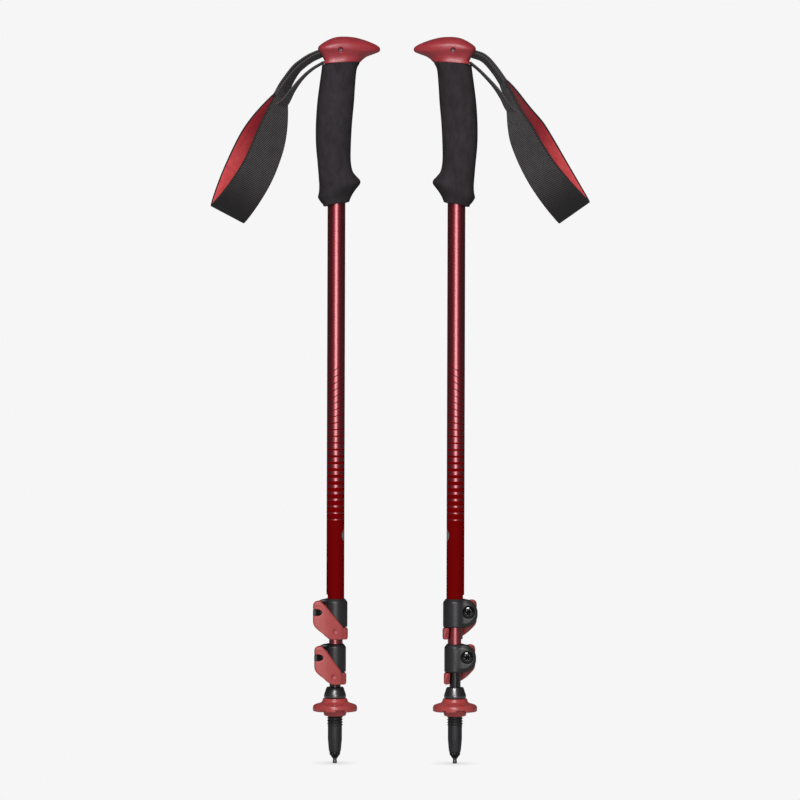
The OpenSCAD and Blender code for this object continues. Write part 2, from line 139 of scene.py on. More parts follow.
def bevel(profile, size, steps=3):
    """Rounds the corners between a profile's two ends by about size."""
    p = [np.array(q, float) for q in profile]
    out = [p[0]]
    for a, b, c in zip(p, p[1:], p[2:]):
        u, v = a - b, c - b
        back = min(size, np.linalg.norm(u) * 0.45, np.linalg.norm(v) * 0.45)
        s, e = b + u / np.linalg.norm(u) * back, b + v / np.linalg.norm(v) * back
        for t in np.linspace(0, 1, steps + 1):
            out.append((1 - t) ** 2 * s + 2 * t * (1 - t) * b + t * t * e)
    return out + [p[-1]]


# ---------------------------------------------------------------- solids written as distances


class Field:
    """A box of voxels. Solids are arrays of signed distances in it, negative inside."""

    def __init__(self, lo, hi, h=VOXEL):
        self.h = h
        self.lo = np.array(lo, float) - 5 * h
        n = np.ceil((np.array(hi, float) + 5 * h - self.lo) / h).astype(int)
        x, y, z = (self.lo[i] + h * np.arange(n[i]) for i in range(3))
        self.shape = tuple(n)
        self.x, self.y, self.z = x[:, None, None], y[None, :, None], z[None, None, :]

    def zcyl(self, x, y, r, z0=-1e3, z1=1e3):
        return common(np.hypot(self.x - x, self.y - y) - r, z0 - self.z, self.z - z1)

    def ycyl(self, x, z, r, y0=-1e3, y1=1e3):
        return common(np.hypot(self.x - x, self.z - z) - r, y0 - self.y, self.y - y1)

    def box(self, lo, hi):
        axes = (self.x, self.y, self.z)
        return common(*(np.maximum(a - c, c - b) for a, b, c in zip(lo, hi, axes)))

    def side(self, polygon):
        """An outline in X and Z, endless along Y."""
        return outline(self.x[:, :, 0], self.z[0], polygon)[:, None, :]

    def plan(self, polygon):
        """An outline in X and Y, endless along Z."""
        return outline(self.x[:, :, 0], self.y[:, :, 0], polygon)[:, :, None]

    def revolve(self, polygon):
        """An outline in radius and Z, turned about the Z axis."""
        rad = np.hypot(self.x, self.y)[:, :, 0]
        step = self.h / 2
        table = outline((np.arange(int(rad.max() / step) + 3) * step)[:, None], self.z[0], polygon)
        i = np.floor(rad / step).astype(int)
        t = (rad / step - i)[:, :, None]
        return table[i] * (1 - t) + table[i + 1] * t

    def mesh(self, name, d, soft):
        """The surface of the solid d, its edges rounded by about soft voxels."""
        d = np.broadcast_to(d, self.shape).astype(np.float32)
        n = int(math.ceil(3 * soft))
        g = np.exp(-0.5 * (np.arange(-n, n + 1) / soft) ** 2)
        g = (g / g.sum()).astype(np.float32)
        for axis in range(3):
            p = np.pad(d, [(n, n) if i == axis else (0, 0) for i in range(3)], mode="edge")
            part = [slice(None)] * 3
            d = np.zeros_like(d)
            for k, w in enumerate(g):
                part[axis] = slice(k, k + d.shape[axis])
                d += w * p[tuple(part)]
        grid = openvdb.FloatGrid(4 * self.h)
        grid.copyFromArray(np.clip(d, -4 * self.h, 4 * self.h))
        grid.transform = openvdb.createLinearTransform(voxelSize=self.h)
        pts, tris, quads = grid.convertToPolygons(isovalue=0.0, adaptivity=0.0)
        return make_mesh(name, pts + self.lo, [*tris.tolist(), *quads.tolist()])


def outline(u, v, polygon):
    """Signed distance to a polygon at the grid of points u by v, negative inside."""
    u, v = np.broadcast_arrays(np.asarray(u, float), np.asarray(v, float))
    d2 = np.full(u.shape, 1e9)
    sign = np.ones(u.shape)
    p = np.array(polygon, float)
    for a, b in zip(p, np.roll(p, 1, axis=0)):
        e, wu, wv = b - a, u - a[0], v - a[1]
        t = np.clip((wu * e[0] + wv * e[1]) / (e @ e), 0, 1)
        d2 = np.minimum(d2, (wu - e[0] * t) ** 2 + (wv - e[1] * t) ** 2)
        c1, c2, c3 = v >= a[1], v < b[1], e[0] * wv > e[1] * wu
        sign = np.where((c1 & c2 & c3) | (~c1 & ~c2 & ~c3), -sign, sign)
    return sign * np.sqrt(d2)


def blend_min(a, b, k):
    """Union of two solids with a fillet of about k between them."""
    h = np.maximum(k - np.abs(a - b), 0) / k
    return np.minimum(a, b) - h * h * k / 4


def common(a, *others):
    """What several solids have in common."""
    for b in others:
        a = np.maximum(a, b)
    return a


def cut(a, *tools):
    """What is left of a solid when the tools are taken away."""
    return common(a, *(-t for t in tools))


# ---------------------------------------------------------------- clamps


def cam_place(r):
    """Where the lever's barrel stands beside a shaft of radius r."""
    x = -(r + SCREW_BACK)
    return x, -math.sqrt((r + CLAMP_WALL + CAM_R + 0.3) ** 2 - x * x)


def clamp_body(name, r):
    """The split clamp ring with its two ears; z counts from its underside."""
    ro = r + CLAMP_WALL
    x, y = cam_place(r)
    ear_in = -y - CAM_R - PLATE_T - 0.25
    f = Field((x - 9, -ro, 0), (ro, ro, CLAMP_H))
    ring = f.revolve(
        [
            (0, 0.5), (ro - 0.5, 0), (ro, 0.6), (ro, CLAMP_H - 3.4), (ro - 0.5, CLAMP_H - 2.4),
            (ro - 2.3, CLAMP_H), (0, CLAMP_H),
        ]
    )
    far = np.hypot(f.x - (x + EAR_R - 8), np.maximum(np.abs(f.z - SCREW_UP + 1.2) - 1.1, 0))
    ear = far - EAR_R
    chamfer = (ear + 3.4) * 0.5 + (f.y - EAR_OUT) * 0.866
    outer = common(ear, SPLIT_HALF - f.y, f.y - EAR_OUT, chamfer)
    inner = common(ear, -ear_in - f.y, f.y + SPLIT_HALF)
    plate_half = BARREL_H / 2 - 1.3
    d = cut(
        blend_min(ring, np.minimum(outer, inner), 1.2),
        f.zcyl(0, 0, r - 0.05),
        f.box((x - 20, -SPLIT_HALF, -9), (0, SPLIT_HALF, 40)),
        f.ycyl(x, SCREW_UP, SCREW_R + 0.35),
        f.ycyl(x, SCREW_UP, HEAD_R + 0.5, EAR_OUT - HEAD_SUNK, 40),
        f.box((x - 20, -ear_in - 9, SCREW_UP - plate_half), (x + 5.2, -ear_in, SCREW_UP + plate_half)),
    )
    return f.mesh(name, d, 1.1)


def lever(name, r, r_in):
    """The side lever: a cam end around the barrel, a plate along the body and a thumb tab in front."""
    ro = r + CLAMP_WALL
    x, y = cam_place(r)
    b, front = x - CAM_R - 0.1, ro + 0.3
    f = Field((b, y - FACE_OUT, -LEVER_DROP), (front, 8, LEVER_TOP))
    side = f.side(
        [
            (b, 5.4), (b + 0.8, 3.0), (b + 2.2, 1.0), (b + 8.0, -4.6), (b + 13.0, -8.4),
            (b + 15.6, -9.9), (b + 18.0, -10.7), (front - 0.9, -LEVER_DROP), (front, -9.9),
            (front, -2.0), (front - 1.1, -0.7), (front - 3.2, TAB_TOP), (b + 9.8, 22.6),
            (b + 8.7, 23.6), (b + 7.0, LEVER_TOP), (b + 4.2, 24.1), (b + 2.2, 23.4), (b + 0.8, 22.2),
            (b, 20.0),
        ]
    )
    reach, big = math.hypot(x, y), ro + 2.6
    # Outline from above: the cam circle, a gently arched face and the ring that the tab lies on.
    arch = y - FACE_OUT + np.maximum(f.x - x + 4, 0) ** 2 / 75
    inward = ((f.x - x) * y - (f.y - y) * x) / reach
    reaches = np.minimum(f.zcyl(0, 0, big), f.x - front + 3.0)
    plan = np.minimum(f.zcyl(x, y, CAM_R), np.maximum(inward, reaches))
    plan = common(plan, -f.zcyl(0, 0, ro + 0.35), arch - f.y, np.minimum(f.x, f.y + 3))
    plate = -blend_min(-plan, -side, 2.2)
    a0, a1 = math.radians(-62), np.radians(41 + (f.z + LEVER_DROP))
    slope = 0.45 * np.maximum(f.z + 4.8, -8.0 - f.z)
    tab = common(
        f.zcyl(0, 0, big, -LEVER_DROP, TAB_TOP),
        -f.zcyl(0, 0, r_in),
        f.x * math.sin(a0) - f.y * math.cos(a0),
        f.y * np.cos(a1) - f.x * np.sin(a1),
        side,
        np.where(f.y > -4, np.hypot(f.x, f.y) - big + slope, -9.0),
    )
    d = blend_min(plate, tab, 0.6)
    # The face lies a little deeper than the rim along its upper edge and than the tab.
    face = f.side(
        [
            (b + 3.4, 20.6), (b + 7.6, 20.2), (front - 5.0, -0.8), (front - 3.4, -3.0),
            (front - 3.4, -20), (b - 6, -20), (b - 6, 16), (b + 1.4, 18.0),
        ]
    )
    sunk = 0.35 + 0.5 * np.clip((f.x - x - 3) / 13, 0, 1)
    d = np.maximum(d, arch + sunk * np.clip(-face / 0.9, 0, 1) - f.y)
    d = cut(d, np.hypot(f.x - front + 3.3, f.y - arch) - 1.6)
    # A plain dimple where the thumb slides.
    at = front - 10.6
    dish = arch[np.abs(f.x[:, 0, 0] - at).argmin(), 0, 0] - 0.7
    d = cut(d, np.sqrt((f.x - at) ** 2 + (f.y - dish) ** 2 + (f.z + 3.4) ** 2) - 2.5)
    d = cut(d, f.zcyl(x, y, BARREL_R + 0.08))
    # The slot that lets the lever swing past the screw, round in section.
    corners = ((3, 0), (3, 14), (-16, 14), (-16, -16), (-11.4, -13.5), (1.93, -2.3))
    turn, half = 2.9, 3.05
    qa = f.plan([(x + p, y + q) for p, q in corners]) + turn
    qb = np.abs(f.z - SCREW_UP) - half + turn
    slot = np.hypot(np.maximum(qa, 0), np.maximum(qb, 0)) + np.minimum(np.maximum(qa, qb), 0) - turn
    return f.mesh(name, cut(d, slot), 1.4)


def clamp_screw(name, r):
    """The clamp screw's domed head with its six-lobed recess; z counts from the clamp's underside."""
    x, _ = cam_place(r)
    seat = EAR_OUT - HEAD_SUNK
    low, high = SCREW_UP - HEAD_R, SCREW_UP + HEAD_R
    f = Field((x - HEAD_R, seat - 0.2, low), (x + HEAD_R, EAR_OUT + 1.2, high), 0.16)
    rad = np.hypot(f.x - x, f.z - SCREW_UP)
    dome = np.sqrt((f.x - x) ** 2 + (f.z - SCREW_UP) ** 2 + (f.y - (EAR_OUT - 10.4)) ** 2) - 11.4
    head = common(rad - HEAD_R, dome, seat - f.y)
    lobes = rad - 2.15 - 0.42 * np.cos(6 * np.arctan2(f.z - SCREW_UP, f.x - x))
    head = cut(head, np.maximum(lobes, seat + 0.1 + rad * 0.55 - f.y))
    return f.mesh(name, head, 1.4)


def screw_shank(name, r):
    """The threaded shank along Y, as a mesh with real ridges."""
    pitch, deep, step, cols = 0.8, 0.32, 0.1, 32
    x, y = cam_place(r)
    y0, y1 = y - 1.8, EAR_OUT - HEAD_SUNK + 0.1
    n = int((y1 - y0) / step)
    pts = []
    for i in range(n + 1):
        t = y0 + (y1 - y0) * i / n
        for a in even_turn(cols):
            wave = (t / pitch - a / (2 * math.pi)) % 1.0
            rad = SCREW_R - deep * abs(2 * wave - 1) - (0.4 if i == 0 else 0)
            pts.append((x + rad * math.cos(a), t, SCREW_UP - rad * math.sin(a)))
    caps = [list(reversed(range(cols))), list(range(n * cols, (n + 1) * cols))]
    return make_mesh(name, pts, grid_faces(n + 1, cols) + caps, 50)


def barrel(name, r):
    """The cross barrel that the lever turns on, with its threaded hole."""
    x, y = cam_place(r)
    z0, z1 = SCREW_UP - BARREL_H / 2, SCREW_UP + BARREL_H / 2
    f = Field((x - 3.3, y - 3.3, z0), (x + 3.3, y + 3.3, z1), 0.2)
    d = f.zcyl(x, y, BARREL_R, z0, z1)
    far = np.hypot(f.x - x, f.y - y)
    for end in (z0 - f.z, f.z - z1):
        d = np.maximum(d, (far - BARREL_R + end + 0.6) / math.sqrt(2))
    return f.mesh(name, cut(d, f.ycyl(x, SCREW_UP, SCREW_R + 0.05)), 1.0)


# ---------------------------------------------------------------- grip


def loft(rows, steps, narrow, power, bore=None):
    """A closed skin through tilted rings. A row is (back x, back z, front x, front z, half width).
    narrow and power give the taper to the nose and the squareness of the back, from 0 to 1 down
    the rows. bore is the radius of a straight hole along Z."""
    st = spline(rows, steps)
    ang = even_turn(ROUND)
    c, s = np.cos(ang), np.sin(ang)
    pts = []
    for i, (xb, zb, xf, zf, w) in enumerate(st):
        down = i / (len(st) - 1)
        q = np.where(c < 0, 2 / power(down), 1.0)
        cx, sy = np.sign(c) * np.abs(c) ** q, np.sign(s) * np.abs(s) ** q
        x = (xb + xf) / 2 + (xf - xb) / 2 * cx
        z = (zb + zf) / 2 + (zf - zb) / 2 * cx
        pts.append(np.stack([x, w * sy * (1 - narrow(down) * cx), z], 1))
    faces = [tuple(reversed(q)) for q in grid_faces(len(pts), ROUND)]
    n = len(pts) * ROUND
    last = n - ROUND
    if bore is None:
        faces += [list(range(ROUND)), list(reversed(range(last, n)))]
        return np.vstack(pts), faces
    for xb, zb, xf, zf, _ in (st[0], st[-1]):
        z = (zb + zf) / 2 + (zf - zb) / (xf - xb) * (bore * c - (xb + xf) / 2)
        pts.append(np.stack([bore * c, bore * s, z], 1))
    for j in range(ROUND):
        k = (j + 1) % ROUND
        faces.append((j, k, n + k, n + j))
        faces.append((last + k, last + j, n + ROUND + j, n + ROUND + k))
        faces.append((n + k, n + ROUND + k, n + ROUND + j, n + j))
    return np.vstack(pts), faces


def pommel(name):
    """The mushroom cap: a lofted skin, with the strap's two slots and the pin's hole cut into it."""
    rows = [
        (7.0, 653.4, 7.8, 653.4, 0.3),
        (1.2, 653.1, 14.0, 653.1, 5.6),
        (-4.0, 652.0, 19.8, 652.0, 9.8),
        (-9.6, 649.4, 27.2, 649.7, 14.0),
        (-13.8, 646.6, 33.8, 647.0, 15.9),
        (-16.2, 644.5, 37.4, 644.9, 16.7),
        (-17.0, 642.8, 38.8, 643.2, 16.8),
        (-16.9, 641.3, 38.9, 641.6, 16.5),
        (-16.2, 639.7, 38.0, 640.0, 15.8),
        (-15.1, 637.8, 33.8, 638.2, 14.7),
        (-13.2, 635.1, 27.6, 635.9, 13.5),
        (-11.4, 632.3, 23.8, 633.4, 13.0),
        (-11.6, 630.0, 22.0, 631.6, 13.5),
        (-13.2, 627.9, 21.0, 630.6, 14.3),
    ]
    pts, faces = loft(
        rows, 6, lambda u: 0.26 * (1 - max(0, u - 0.55) / 0.45), lambda u: 2 + 2.6 * min(1, u / 0.6) ** 2
    )
    mesh = make_mesh(name, pts, faces)
    mesh.calc_loop_triangles()
    tris = np.zeros(len(mesh.loop_triangles) * 3, np.int32)
    mesh.loop_triangles.foreach_get("vertices", tris)
    bpy.data.meshes.remove(mesh)
    f = Field((-18, -19, 627), (40, 19, 655), 0.32)
    grid = openvdb.FloatGrid.createLevelSetFromPolygons(
        (pts - f.lo).astype(np.float32),
        triangles=tris.reshape(-1, 3).astype(np.uint32),
        transform=openvdb.createLinearTransform(voxelSize=f.h),
        halfWidth=5,
    )
    d = np.zeros(f.shape, np.float32)
    grid.copyToArray(d, ijk=(0, 0, 0))
    slot_half, pin_end = 9.2, 13.9
    pin_x, pin_z, pin_r = 3.7, 640.2, 2.1
    d = cut(
        d,
        f.box((-30, -slot_half, 634.6), (4, slot_half, 641.4)),
        f.box((-30, -slot_half, 620), (-4, slot_half, 631.5)),
        np.maximum(f.ycyl(pin_x, pin_z, pin_r), pin_end - np.abs(f.y)),
        f.zcyl(0, 0, UPPER_R - 0.8, 600, 632),
    )
    return f.mesh(name, d, 1.1)


def foam(name):
    """The foam grip: slim below the pommel, with a finger rest at its lower front."""
    rows = [
        (-13.0, 628.0, 20.6, 630.6, 13.6),
        (-13.4, 627.2, 20.2, 629.2, 13.8),
        (-13.9, 622.6, 17.9, 624.0, 13.8),
        (-15.5, 611.0, 16.6, 611.0, 13.9),
        (-17.6, 594.0, 15.5, 594.0, 14.1),
        (-18.8, 575.0, 13.8, 575.0, 14.3),
        (-18.7, 557.0, 12.9, 557.0, 14.1),
        (-17.2, 540.0, 12.8, 542.0, 13.9),
        (-16.1, 527.0, 14.4, 533.0, 14.3),
        (-15.6, 519.0, 17.4, 528.6, 15.2),
        (-15.9, 513.4, 20.6, 525.2, 16.2),
        (-16.5, 510.6, 21.5, 523.2, 16.4),
        (-16.7, 508.8, 20.9, 520.6, 16.0),
        (-15.6, 506.6, 17.0, 515.6, 14.8),
        (-14.0, 504.4, 13.8, 510.6, 13.0),
        (-12.4, 502.6, 12.2, 507.0, 11.9),
        (-11.6, 500.9, 11.6, 505.2, 11.2),
        (-10.4, 500.8, 10.6, 504.8, 10.4),
    ]
    pts, faces = loft(rows, 7, lambda u: 0.05, lambda u: 2.3, bore=UPPER_R + 0.05)
    return make_mesh(name, pts, faces, 50)


# ---------------------------------------------------------------- wrist strap


STRAP_Z, TAIL_Z = 638.4, 630.4
BAND_W, WEBBING_W, WEBBING_T = 36.5, 18.0, 1.5

# Middle line of each strap in X and Z: the strands, then the loop; half of the loop's depth; and
# how far the webbing is turned where the loop starts, what it loses down to the fold, how early it
# loses it, and how late the strands turn.
STRAPS = {
    "left": (
        [(-14, 638.6), (-23, 634.6), (-31, 629.2), (-38, 622.6), (-46.4, 609.3), (-51, 598)],
        [(-51, 598), (-59.5, 577), (-68.5, 555.5), (-77.5, 534.5), (-87.5, 514), (-98, 493.5)],
        12.6,
        (49, 24, 1.3, 3.2),
    ),
    "right": (
        [(-14, 638.6), (-24.5, 634.4), (-34, 624.2), (-42.3, 612)],
        [(-42.3, 612), (-50.8, 598), (-59.4, 577), (-69.4, 555.5), (-80.6, 534.5), (-92.8, 515), (-106, 496)],
        8.4,
        (76, 51, 0.8, 6),
    ),
}

# The tail: where it ends in the loop (see Strap.station), and its way there in X and Z.
TAILS = {
    "left": ((1.1, -1.4), [(-12, TAIL_Z), (-22.5, 624), (-31.5, 615.8), (-39.5, 605.5), (-46, 595.5)]),
    "right": (
        (1.25, -3.2),
        [(-12, TAIL_Z), (-19.6, 624.1), (-26.4, 617.4), (-34.2, 608.8), (-41, 599.4), (-46.4, 590.6)],
    ),
}


def unit(v):
    return v / np.linalg.norm(v, axis=-1, keepdims=True)


def mix(a, b, t):
    return a + (b - a) * t


def travel(line):
    """How far along a line of points each of them lies."""
    return np.concatenate([[0], np.cumsum(np.linalg.norm(np.diff(line, axis=0), axis=1))])


class Strap:
    """Where a strap runs: v is 0 to 1 along the strands and 1 to 2 down the loop to its fold."""

    def __init__(self, side):
        strands, loop, self.deep, self.turn = STRAPS[side]
        steps = 24
        self.line = spline(strands[:-1] + loop, steps)
        gone = travel(self.line)
        joint = gone[steps * (len(strands) - 1)]
        self.length = gone[-1] - joint
        self.at = np.where(gone < joint, gone / joint, 1 + (gone - joint) / self.length)
        self.dir = unit(np.gradient(self.line, axis=0))
        self.mirror = side == "right"
        self.neck = 10.0 if self.mirror else 0.0

    def half_depth(self, a):
        """Half the gap between the loop's layers; a is 0 at its fold and 1 at its start."""
        a = np.abs(a)
        return self.deep * np.sin(np.pi * a**1.45) + 0.9 * a**3

    def station(self, v, off):
        """Middle of the webbing, its direction across and its half width, at v, off the middle line."""
        v = np.asarray(v, float)
        x, z, dx, dz = (np.interp(v, self.at, c) for c in (*self.line.T, *self.dir.T))
        low = np.clip(v - 1, 0, 1)
        start, loss, early, late = self.turn
        in_strands = mix(80, start, np.clip(v, 0, 1) ** late)
        turn = np.radians(np.where(v < 1, in_strands, start - loss * low**early))
        wide = np.stack([-np.cos(turn) * dz, np.sin(turn), np.cos(turn) * dx], -1)
        deep = np.stack([np.sin(turn) * dz, np.cos(turn), -np.sin(turn) * dx], -1)
        widen = np.clip((low * self.length - self.neck) / (46 - self.neck / 3), 0, 1)
        grown = widen * widen * (3 - 2 * widen) if self.neck else 1 - (1 - widen) ** 2
        half = (WEBBING_W + (BAND_W - WEBBING_W) * grown) / 2
        centre = np.stack([x, 0 * x, z], -1) + np.asarray(off, float)[..., None] * deep
        return centre, wide, half

    def hang(self, p):
        """Moves points from the pole's own axis to where it stands; the right strap is mirrored."""
        if self.mirror:
            return np.stack([HALF_GAP - p[:, 0], p[:, 1], p[:, 2]], 1)
        return p + np.array([-HALF_GAP, 0, 0])


def ribbon(name, strap, centre, wide, half, profile, slots=None):
    """Sweeps a cross-section along the strap. profile(half) gives points (across, outwards); slots
    gives the material of each of its sides, else they have the first. The UVs are metres across and
    along, from the ribbon's middle."""
    n = len(centre)
    normal = unit(np.cross(wide, unit(np.gradient(centre, axis=0))))
    length = travel(centre)
    length -= length[-1] / 2
    rings, across = [], []
    for i in range(n):
        p = np.array(profile(half[i]))
        rings.append(centre[i] + p[:, :1] * wide[i] + p[:, 1:2] * normal[i])
        across.append(p[:, 0])
    m = len(rings[0])
    pts = strap.hang(np.vstack(rings))
    faces = grid_faces(n, m)
    index = slots * (n - 1) + slots[:1] * 2 if slots else None
    # The ring's turn and the mirror decide which way the faces look, so their volume is measured.
    a, b, c, d = (pts[[f[k] for f in faces]] for k in range(4))
    faces += [tuple(reversed(range(m))), tuple(range((n - 1) * m, n * m))]
    if np.sum(np.cross(b, c) * a) + np.sum(np.cross(c, d) * a) < 0:
        faces = [tuple(reversed(f)) for f in faces]
    uvs = [(across[v // m][v % m] * MM, length[v // m] * MM) for f in faces for v in f]
    return make_mesh(name, pts, faces, 50, uvs, index)


def flat_profile(t, edge, crown, inset=0.0, base=None):
    """A strip of thickness t with rounded edges, fuller in the middle by crown. A strip with a base
    starts at that height and is flat underneath."""
    cols = np.linspace(-1, 1, 9)
    low, under = (-t / 2, crown) if base is None else (base, 0)
    top = low + t
    rim = [(edge * 0.3, low + t * 0.15), (0, (low + top) / 2), (edge * 0.3, top - t * 0.15)]

    def at(half):
        w = half - inset
        out = [(c * (w - edge), low - under * (1 - c * c)) for c in cols]
        out += [(w - back, z) for back, z in rim]
        out += [(c * (w - edge), top + crown * (1 - c * c)) for c in cols[::-1]]
        return out + [(back - w, z) for back, z in rim[::-1]]

    return at


BAND_COLS = 13
BAND_RIM = [(0.4, -0.6), (0.1, -0.2), (0, 0.4), (0.05, 1.0), (0.2, 1.35), (0.5, 1.4), (0.7, 1.2), (0.7, 0.7)]
# The material of each side of that outline: cloth across its faces, binding round its edges.
BAND_SLOTS = [0] * (BAND_COLS - 1) + [1] * len(BAND_RIM) + [0] * BAND_COLS + [1] * (len(BAND_RIM) + 1)


def band_profile(half):
    """The band's outer layer with its two edges folded over the lining; -1 side is outwards."""
    cols = np.linspace(-1, 1, BAND_COLS)
    out = [(c * (half - 0.9), -0.7) for c in cols]
    out += [(half - back, z) for back, z in BAND_RIM]
    out += [(c * (half - 1.6), 0.7) for c in cols[::-1]]
    return out + [(back - half, z) for back, z in BAND_RIM[::-1]]


def wrist_band(side):
    """The band's outer cloth, its lining, and the flat size of the cloth in metres."""
    strap = Strap(side)
    a = np.linspace(-1, 1, 181)
    c, wide, half = strap.station(2 - 1.03 * a * a, np.sign(a) * strap.half_depth(a))
    outer = ribbon(f"{side}_band_cloth", strap, c, wide, half, band_profile, BAND_SLOTS)
    keep = slice(2, -2)
    inside = flat_profile(0.75, 0.3, 0.12, inset=0.78, base=0.74)
    red = ribbon(f"{side}_lining_cloth", strap, c[keep], wide[keep], half[keep], inside)
    return outer, red, (BAND_W * MM, float(travel(c)[-1]) * MM)


def from_slot(name, strap, start, centre, wide, half):
    """A strip of webbing that starts flat inside the pommel's slot."""
    centre = np.vstack([[start], centre])
    wide = np.vstack([[(0, 1, 0)], wide])
    profile = flat_profile(WEBBING_T, 0.7, 0.1)
    return ribbon(name, strap, centre, wide, np.full(len(centre), half), profile)


def strands(side):
    """The two strands from the pommel down into the band, where they are sewn in."""
    strap = Strap(side)
    bulge = 0.1 if strap.mirror else 0.5
    v = np.linspace(0, 1, 48)
    out = []
    for s in (-1, 1):
        c, wide, _ = strap.station(v, s * (1 + bulge * np.sin(np.pi * v)))
        start = (1.5, 0, STRAP_Z + 0.7 + s)
        out.append(from_slot(f"{side}_strand_cloth", strap, start, c, wide, WEBBING_W / 2))
    return out


def tail(side):
    """The loose end from the lower slot, sewn in behind the band's near layer."""
    strap = Strap(side)
    sewn, way = TAILS[side]
    end, wide_end, _ = strap.station(*sewn)
    c = spline([(x, 0, z) for x, z in way] + [tuple(end)], 9)
    g = np.linspace(0, 1, len(c))[:, None] ** 3
    wide = unit(np.array([0.08, 1.0, 0.05]) * (1 - g) + wide_end * g)
    return from_slot(f"{side}_tail_cloth", strap, (-4, 0, TAIL_Z), c, wide, WEBBING_W / 2 - 1)


# ---------------------------------------------------------------- shafts and tip


def shaft(name, r, z0, z1, slit=None):
    """A tube with a real wall, open at both ends; slit is the top of the gap at its back."""
    half = math.asin(SLIT_HALF / r)
    solid, rows = 121, 60
    ang = np.linspace(math.pi + half, 3 * math.pi - half, solid)
    ang = np.concatenate([ang, np.linspace(math.pi - half, math.pi + half, 13)[1:-1]])
    n = len(ang)
    low = slit or z0
    zs = np.unique(np.concatenate([[z0, low], np.linspace(low, z1, rows)]))
    pts = [p for rad in (r, r - WALL) for z in zs for p in circle(rad, z, ang)]
    inner = len(zs) * n
    faces, open_edges = [], {}
    for i in range(len(zs) - 1):
        for j in range(n):
            if zs[i] < low - 1e-6 and j >= solid - 1:
                continue
            k = (j + 1) % n
            a, b = i * n, (i + 1) * n
            quad = (a + j, a + k, b + k, b + j)
            faces.append(quad)
            for p, q in zip(quad, quad[1:] + quad[:1]):
                # An edge that two quads share is not part of the rim.
                if open_edges.pop((q, p), None) is None:
                    open_edges[(p, q)] = True
    used = {v for f in faces for v in f}
    faces += [tuple(reversed([v + inner for v in f])) for f in faces[:]]
    faces += [(q, p, p + inner, q + inner) for p, q in open_edges]
    keep = sorted(used | {v + inner for v in used})
    number = {v: i for i, v in enumerate(keep)}
    return make_mesh(name, [pts[v] for v in keep], [[number[v] for v in f] for f in faces], 40)


def basket(name):
    """The small basket: a hub, a thin brim, and two pairs of notches cut up into its underside."""
    f = Field((-20, -20, 42), (20, 20, 58.4), 0.32)
    ring = f.revolve(
        [
            (7.05, 42.4), (9.2, 42.4), (10.0, 43.4), (10.4, 45.6), (10.5, 47.6), (13.0, 47.4), (17.6, 46.6),
            (19.4, 46.6), (19.9, 47.2), (19.95, 50.0), (19.5, 51.6), (18.4, 52.6), (16.0, 53.4), (13.6, 54.0),
            (12.0, 54.9), (11.3, 56.2), (10.9, 58.2), (7.05, 58.2),
        ]
    )
    ang = np.degrees(np.arctan2(f.y, f.x))
    far = np.hypot(f.x, f.y)
    for k in range(2):
        for middle_at, width, deep in ((-74, 13, 48.6), (-121, 6, 48.2)):
            off = np.abs((ang - middle_at - 180 * k + 180) % 360 - 180)
            wedge = np.maximum(np.radians(off - width) * far, 12.4 - far)
            ring = cut(ring, np.maximum(wedge, f.z - deep))
    return f.mesh(name, ring, 1.1)


def tip_body(name):
    """The tip's sleeve: a helical thread at the top, a smooth barrel and a taper to the ferrule."""
    low, thread_low, top = 9.9, 32.4, 58.5
    pitch, ridge, run_in = 2.4, 0.75, 2.2
    taper = ([low, 10.8, 13.0, 16.2, 19.8, 21.8], [4.9, 5.3, 5.6, 5.88, 6.2, 6.35])
    threaded = np.arange(thread_low + 0.1, top + 0.01, 0.2)
    zs = np.concatenate([[low], np.linspace(10.0, thread_low, 46), threaded])
    rows = [(z, np.interp(z, *taper), ridge) for z in zs]
    ang = even_turn(ROUND)
    pts = []
    for z, base, high in [(low, 2.0, 0), *rows, (top, LOWER_R, 0)]:
        w = ((z - 33.2) / pitch - ang / (2 * math.pi)) % 1.0
        rise = high * np.clip(1.35 - 5 * np.abs(w - 0.5), 0, 1) * np.clip((z - thread_low) / run_in, 0, 1)
        pts.append(np.stack([(base + rise) * np.cos(ang), (base + rise) * np.sin(ang), z + 0 * ang], 1))
    return make_mesh(name, np.vstack(pts), grid_faces(len(pts), ROUND), 45)


def ferrule(name):
    """The dark steel cone at the end, with flats pressed into its collar."""
    f = Field((-5, -5, 4.2), (5, 5, 10.2), 0.16)
    d = f.revolve(
        [(1.85, 4.4), (2.3, 4.4), (3.0, 5.4), (3.6, 6.4), (4.4, 7.3), (4.8, 7.9), (4.8, 9.9), (1.85, 9.9)]
    )
    for k in range(8):
        a = 2 * math.pi * (k + 0.5) / 8
        u, v = f.x * math.cos(a) + f.y * math.sin(a), -f.x * math.sin(a) + f.y * math.cos(a)
        pit = np.sqrt((u - 5.6) ** 2 + v * v + (f.z - 8.9) ** 2) - 1.25
        d = cut(d, pit)
    return f.mesh(name, d, 1.1)


# ---------------------------------------------------------------- materials


